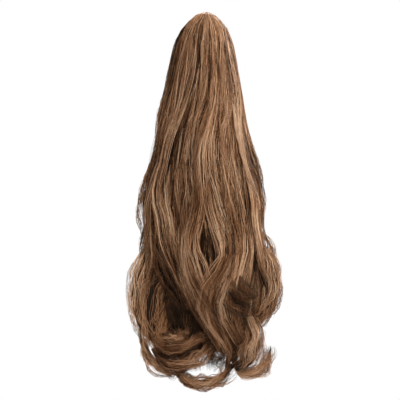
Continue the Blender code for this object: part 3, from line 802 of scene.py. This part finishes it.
hollow_guides = [
    curl_guide(hollow, shade + HOLLOW_LIFT, shade) for hollow, shade in zip(HOLLOWS, HOLLOW_SHADES)
]
strands_on(
    "hollow_hair", hollow_guides, clumps=8, strands=7, clump_size=0.45, wrap=3.3, gather=0.0,
    drift=14 * MM, frizz=14 * MM, shortest=0.7, ragged=0.35, seed=83,
)

# The loose wisps.
# A few thin locks have come out of the brushed fall and stand off its edges.
# They are the same fibre, a little lighter where the light passes through so few filaments.

WISPS = (
    Curl(0.050, 0.50, 0.40, 0.45, -0.64, 0.303, -0.76, 0.385, -0.84, 0.458, -0.84, 0.514, -0.76, 0.572),
    Curl(0.016, 0.50, 0.30, 0.30, -0.54, 0.142, -0.59, 0.174, -0.61, 0.209, -0.60, 0.244, -0.58, 0.284),
    Curl(0.035, 0.50, 0.35, 0.40, -0.79, 0.520, -0.83, 0.578, -0.82, 0.613, -0.79, 0.648, -0.73, 0.690),
    Curl(0.045, 0.50, 0.35, 0.40, 0.63, 0.290, 0.73, 0.367, 0.77, 0.435, 0.76, 0.484, 0.70, 0.545),
    Curl(0.030, 0.50, 0.25, 0.30, 0.70, 0.530, 0.85, 0.561, 0.94, 0.596, 0.91, 0.637, 0.80, 0.675),
    Curl(0.016, 0.50, 0.30, 0.30, 0.52, 0.200, 0.60, 0.255, 0.67, 0.310, 0.74, 0.365, 0.77, 0.410),
    Curl(0.018, 0.60, 0.30, 0.30, -0.80, 0.800, -0.87, 0.850, -0.78, 0.912, -0.61, 0.945, -0.40, 0.962),
    Curl(0.014, 0.80, 1.02, 1.04, 0.00, 0.495, 0.05, 0.550, 0.085, 0.600, 0.080, 0.645, 0.01, 0.700),
    Curl(0.030, 0.30, 0.45, 0.40, -0.68, 0.790, -0.74, 0.810, -0.79, 0.826, -0.84, 0.840, -0.88, 0.850),
)
wisp_guides = [curl_guide(wisp, shade=0.12, root_shade=0.0) for wisp in WISPS]
strands_on(
    "loose_wisps", wisp_guides, clumps=5, strands=8, clump_size=0.5, wrap=6.2, gather=0.4,
    drift=16 * MM, frizz=12 * MM, shortest=0.8, seed=53,
)

# The hair under the locks.
# The inner filaments are packed close in the shade of the locks, and their colour is set dark as painted
# shade, one dark mass between the locks.
# It follows the imported solids, a little inside them.

inner_fibre, tree, shader = principled(
    "packed_inner_fibre", Roughness=0.8, IOR=1.50, Specular_IOR_Level=0.1
)
place = add(tree, "ShaderNodeTexCoord").outputs["Object"]
STREAK_WIDTH = 1.4 * MM
STREAK_LENGTH = 40 * MM
stretch = add(
    tree, "ShaderNodeMapping", {"Vector": place},
    {"Scale": (1 / STREAK_WIDTH, 1 / STREAK_WIDTH, 1 / STREAK_LENGTH)},
)
streaks = add(tree, "ShaderNodeTexNoise", {"Vector": stretch.outputs[0]}, {"Scale": 1.0, "Detail": 3.0})
colour = add(
    tree, "ShaderNodeValToRGB", {"Fac": streaks.outputs["Fac"]},
    stops=((0.35, "#0d0804"), (0.65, "#2c1c10")),
)
tree.links.new(colour.outputs["Color"], shader.inputs["Base Color"])
bump = add(
    tree, "ShaderNodeBump", {"Height": streaks.outputs["Fac"]}, {"Strength": 0.8, "Distance": 1.0 * MM}
)
tree.links.new(bump.outputs["Normal"], shader.inputs["Normal"])

INNER_DEPTH = 2.0 * MM
WELD = 0.01 * MM
# Its ends are drawn up behind INNER_REAR, and elsewhere only round the opening over the middle curl.
INNER_FULL = 0.80
END_SHARE = 0.5
INNER_REAR = -8 * MM
INNER_END = 0.895 * FALL_LENGTH
OPENING_LEFT, OPENING_RIGHT, OPENING_END = -0.22, 0.30, 0.94


def inner_copy(name, node):
    """A copy of a packed hair solid, drawn in along its normals, that takes the solid's place."""
    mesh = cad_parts[node].data.copy()
    body = bmesh.new()
    body.from_mesh(mesh)
    bmesh.ops.remove_doubles(body, verts=body.verts, dist=WELD)
    body.normal_update()
    for vertex, normal in [(v, v.normal.copy()) for v in body.verts]:
        vertex.co -= normal * INNER_DEPTH
        level = -vertex.co.z / FALL_LENGTH
        if level > INNER_FULL and vertex.co.y > INNER_REAR:
            vertex.co.z = -FALL_LENGTH * (INNER_FULL + END_SHARE * (level - INNER_FULL))
        elif level < OPENING_END and OPENING_LEFT < vertex.co.x / FALL_HALF_WIDTH < OPENING_RIGHT:
            vertex.co.z = max(vertex.co.z, -INNER_END)
    body.to_mesh(mesh)
    body.free()
    mesh.materials.clear()
    mesh.materials.append(inner_fibre)
    mesh.shade_smooth()
    piece = bpy.data.objects.new(name, mesh)
    bpy.context.scene.collection.objects.link(piece)
    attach(piece, "root")
    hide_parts(node)


inner_copy("front_inner_hair", "front_hair")

# The back of the crown.
# The hair comes up from the upper weft and folds forward over the clip.
# From behind it shows as a short cap of fibre above the band.

CROWN_LOCK_COUNT = 11
CROWN_SPREAD = 0.98
CROWN_LEVELS = (0.38, 0.52, 0.64, 0.76, 0.88, 0.95, 0.98)
CROWN_LOCK_WIDTH = 0.14
CROWN_LOCK_THICK = 0.8 * MM
crown_guides = []
for i in range(CROWN_LOCK_COUNT):
    across = 2 * CROWN_SPREAD * i / (CROWN_LOCK_COUNT - 1) - CROWN_SPREAD
    path, outs, widths, thicks = [], [], [], []
    for level in CROWN_LEVELS:
        z = level * CROWN_RISE
        half_width = form_at(z)[0]
        turn = math.pi - math.asin(across)
        out = Vector((math.sin(turn), -math.cos(turn), level)).normalized()
        path.append(form_point(z, turn))
        outs.append(out)
        widths.append(CROWN_LOCK_WIDTH * half_width)
        thicks.append(CROWN_LOCK_THICK)
    crown_guides.append(Guide(path, outs, widths, thicks, [0.0] * len(path)))
strands_on(
    "crown_back_hair", crown_guides, clumps=14, strands=6, clump_size=0.2, wrap=3.3, gather=0.0,
    drift=1 * MM, frizz=0.6 * MM, shortest=1.0, seed=31,
)

# The back hair.
# It is sewn to the lower weft and hangs against the wearer's neck, so it is the plainer side.
# Its locks wave a little less than the front ones and are cut at two lengths.

inner_copy("back_inner_hair", "back_hair")
BACK_LOCK_COUNT = 9
BACK_SPREAD = 0.84
BACK_SWAY, BACK_BENDS, BACK_STAGGER = 0.10, 6.0, 0.9
BACK_HAIR_DROP = 13.7 * MM
back_guides = []
for i in range(BACK_LOCK_COUNT):
    root = BACK_SPREAD * (2 * i / (BACK_LOCK_COUNT - 1) - 1)
    back_guides.append(fall_guide(
        lambda level, root=root, i=i: (
            root + BACK_SWAY * level * math.sin(BACK_BENDS * level + BACK_STAGGER * i)
        ),
        width=0.17, reach=0.92 if i % 2 else 0.88, proud=0.35, facing=-1, crown=(),
        start=BACK_HAIR_DROP / FALL_LENGTH,
    ))
strands_on(
    "back_locks", back_guides, clumps=12, strands=11, clump_size=0.3, wrap=3.4, gather=0.3,
    drift=30 * MM, frizz=11 * MM, shortest=0.86, seed=41,
)

# The studio.
# A white room with a soft key light high on the right, a weaker fill on the left, one light behind
# and one at each side for the rims, and a small pale floor under the hanging hair.

FLOOR_RADIUS = 0.42
FLOOR_DROP = 0.56
bpy.ops.mesh.primitive_circle_add(
    vertices=96, radius=FLOOR_RADIUS, fill_type="NGON", location=(0, 0, -FLOOR_DROP)
)
floor = bpy.context.object
floor.name = "floor"
pale, tree, shader = principled("pale_floor", Roughness=0.9, Base_Color=linear("#f4f3f1"))
floor.data.materials.append(pale)

world = bpy.data.worlds.new("white_room")
bpy.context.scene.world = world
world.use_nodes = True
tree = world.node_tree
tree.nodes.clear()
WHITE = (1, 1, 1, 1)
ROOM_LIGHT = 0.16
seen = add(tree, "ShaderNodeLightPath").outputs["Is Camera Ray"]
soft = add(tree, "ShaderNodeBackground", values={"Color": WHITE, "Strength": ROOM_LIGHT})
white = add(tree, "ShaderNodeBackground", values={"Color": WHITE, "Strength": 1.0})
room = add(tree, "ShaderNodeMixShader", {0: seen, 1: soft.outputs[0], 2: white.outputs[0]})
add(tree, "ShaderNodeOutputWorld", {"Surface": room.outputs[0]})
LIT_POINT = Vector((0, 0, -0.18))


def soft_light(name, place, size, power):
    """A square soft light that faces the middle of the hair."""
    light = bpy.data.lights.new(name, "AREA")
    light.size = size
    light.energy = power
    lamp = bpy.data.objects.new(name, light)
    lamp.location = place
    towards = LIT_POINT - lamp.location
    lamp.rotation_mode = "QUATERNION"
    lamp.rotation_quaternion = towards.to_track_quat("-Z", "Y")
    bpy.context.scene.collection.objects.link(lamp)


soft_light("key", (1.1, -1.4, 1.0), size=0.5, power=66)
soft_light("fill", (-1.1, -1.6, 0.3), size=1.0, power=14)
soft_light("rear", (0.6, 1.5, 0.9), size=0.9, power=22)
soft_light("left_rim", (-1.5, 0.5, 0.5), size=0.8, power=22)
soft_light("right_rim", (1.5, 0.6, 0.5), size=0.8, power=20)

# A long lens, level with the middle of the hair and a little to its left, as in the photograph.
LENS = 135
VIEW_DISTANCE = 2.015
VIEW_SIDE, VIEW_HEIGHT = -5.3 * MM, -204 * MM
camera = bpy.data.objects.new("camera", bpy.data.cameras.new("camera"))
camera.data.lens = LENS
camera.location = (VIEW_SIDE, -VIEW_DISTANCE, VIEW_HEIGHT)
camera.rotation_euler = (math.radians(90), 0, 0)
bpy.context.scene.collection.objects.link(camera)
bpy.context.scene.camera = camera
bpy.context.scene.view_settings.view_transform = "Standard"
